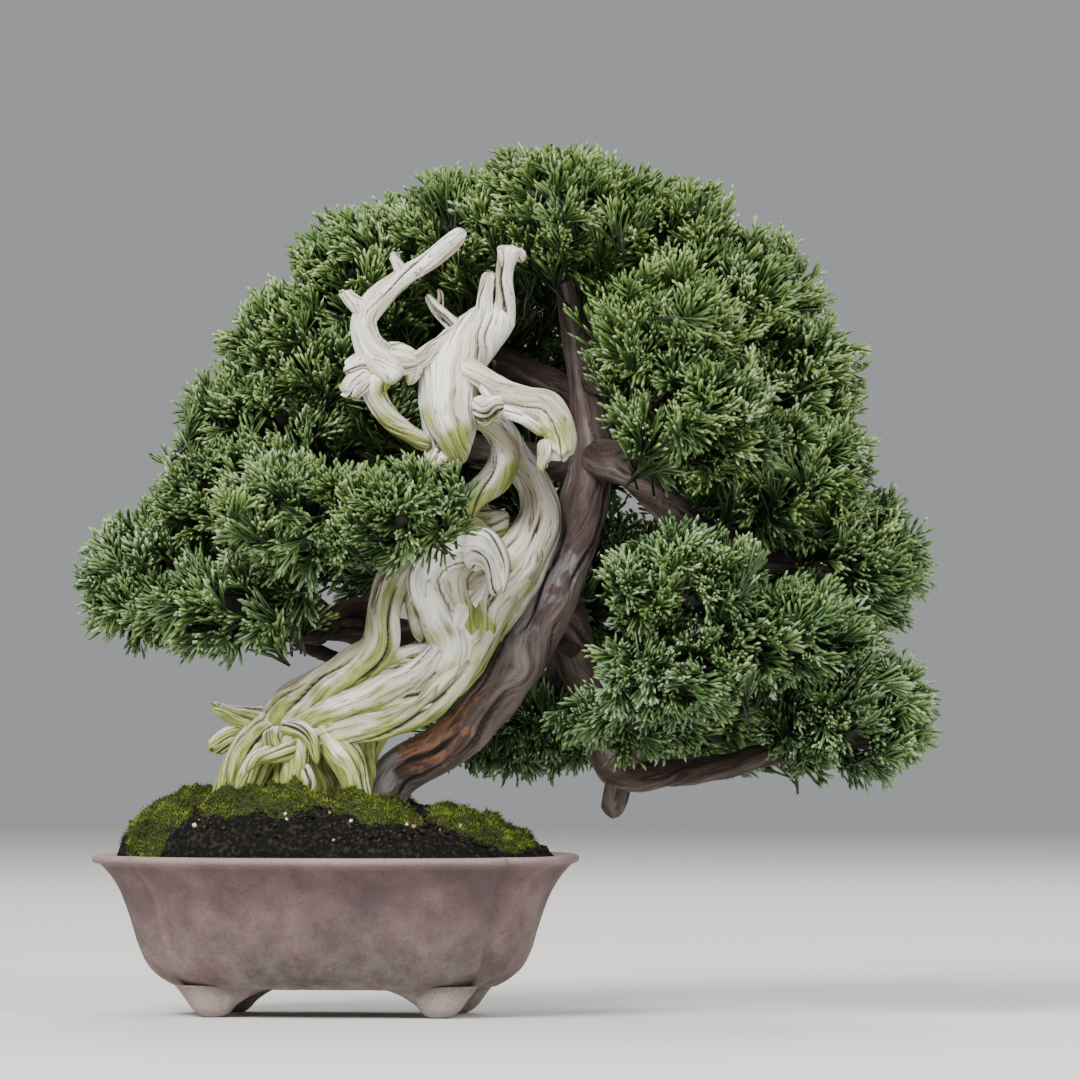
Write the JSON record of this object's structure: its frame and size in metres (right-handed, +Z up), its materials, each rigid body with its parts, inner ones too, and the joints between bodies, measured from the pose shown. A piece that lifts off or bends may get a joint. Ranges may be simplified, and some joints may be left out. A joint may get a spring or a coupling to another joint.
{
  "type": "bonsai tree in a pot",
  "caption": "Leaning juniper bonsai with a bleached, flowing deadwood trunk, a live bark vein and clipped foliage pads, in an oblong unglazed clay pot on cloud feet.",
  "frame": {"origin": "centre of the overall bounding box in X and Y, on the surface that the pot's feet stand on", "axes": "+Z up; -Y is the front from which the tree is viewed; +X is to the viewer's right, the way the crown leans; the pot's length runs 7.5 degrees off X"},
  "size_m": [0.3016, 0.1977, 0.306],
  "materials": {
    "clay": "matte",
    "soil": "matte",
    "grit": "matte",
    "moss": "matte",
    "deadwood": "matte",
    "bark": "matte",
    "foliage": "matte",
    "netting": "matte",
    "wire": "satin"
  },
  "bodies": {
    "root": {"antler_jin": "deadwood", "branch_back_low": "bark", "branch_back_middle": "bark", "branch_back_right": "bark", "branch_left_high": "bark", "branch_left_low": "bark", "branch_left_middle": "bark", "branch_right_high": "bark", "branch_right_low": "bark", "branch_right_middle": "bark", "deadwood_trunk": "deadwood", "drainage_grit": "grit", "drainage_mesh_left": "netting", "drainage_mesh_right": "netting", "foliage_apex_back": "foliage", "foliage_apex_front": "foliage", "foliage_apex_left": "foliage", "foliage_apex_right": "foliage", "foliage_back_centre_low": "foliage", "foliage_back_left_high": "foliage", "foliage_back_left_inner": "foliage", "foliage_back_left_low": "foliage", "foliage_back_middle": "foliage", "foliage_back_right_high": "foliage", "foliage_back_right_low": "foliage", "foliage_back_right_middle": "foliage", "foliage_left_high": "foliage", "foliage_left_inner": "foliage", "foliage_left_middle": "foliage", "foliage_left_tier_back": "foliage", "foliage_left_tier_front": "foliage", "foliage_left_tier_inner": "foliage", "foliage_left_tier_low": "foliage", "foliage_left_tier_tip": "foliage", "foliage_left_tier_top": "foliage", "foliage_low_back": "foliage", "foliage_low_back_right": "foliage", "foliage_right_high_edge": "foliage", "foliage_right_high_front": "foliage", "foliage_right_low_crest": "foliage", "foliage_right_low_edge": "foliage", "foliage_right_low_front": "foliage", "foliage_right_low_inner": "foliage", "foliage_right_low_middle": "foliage", "foliage_right_middle_edge": "foliage", "foliage_right_middle_front": "foliage", "foliage_right_tier_edge": "foliage", "foliage_shoulder_left": "foliage", "foliage_shoulder_right": "foliage", "live_vein": "bark", "moss_back": "moss", "moss_front_left": "moss", "moss_front_middle": "moss", "moss_left": "moss", "moss_right": "moss", "pot": "clay", "right_jin": "deadwood", "soil": "soil", "wire_clip_left": "wire", "wire_clip_right": "wire"}
  },
  "joints": []
}
